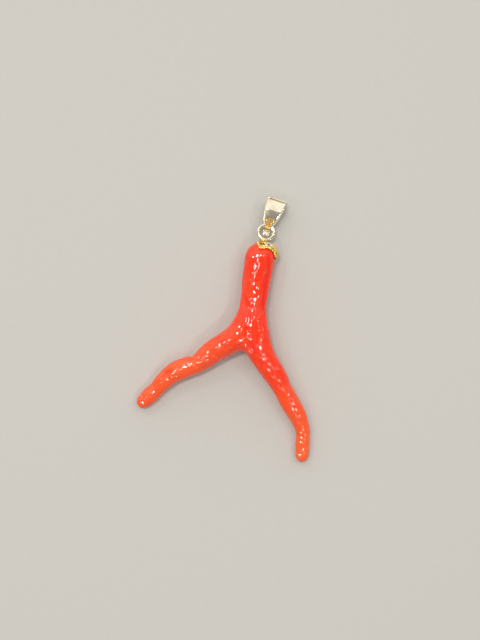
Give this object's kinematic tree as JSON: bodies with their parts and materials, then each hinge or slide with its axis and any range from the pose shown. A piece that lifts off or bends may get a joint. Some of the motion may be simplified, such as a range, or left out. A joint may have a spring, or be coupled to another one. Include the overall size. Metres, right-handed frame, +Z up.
{
  "type": "red coral branch pendant",
  "caption": "Polished red coral fork with a gold lobed bell cap, its soldered ring and a tapered bail that swings on the ring.",
  "frame": {"origin": "on the surface the pendant lies on, under the middle of its outline", "axes": "+Y from the fork to the bail, +Z up to the viewer, +X to the right-hand arm"},
  "size_m": [0.0392, 0.06, 0.0075],
  "materials": {
    "coral": "polished to a high gloss",
    "cap_gold": "bright yellow gold",
    "pale_gold": "polished pale gold"
  },
  "bodies": {
    "pendant": {"coral_stem": "coral", "coral_left_arm": "coral", "coral_right_arm": "coral", "cap": "cap_gold", "cap_ring": "pale_gold"},
    "bail": {"bail": "pale_gold"}
  },
  "joints": [
    {"name": "bail_swing", "type": "hinge", "parent": "pendant", "child": "bail", "pos_m": [0.01021, 0.02345, 0.00246], "axis": [0.9511, -0.309, 0], "range_deg": [-75, 95]}
  ]
}
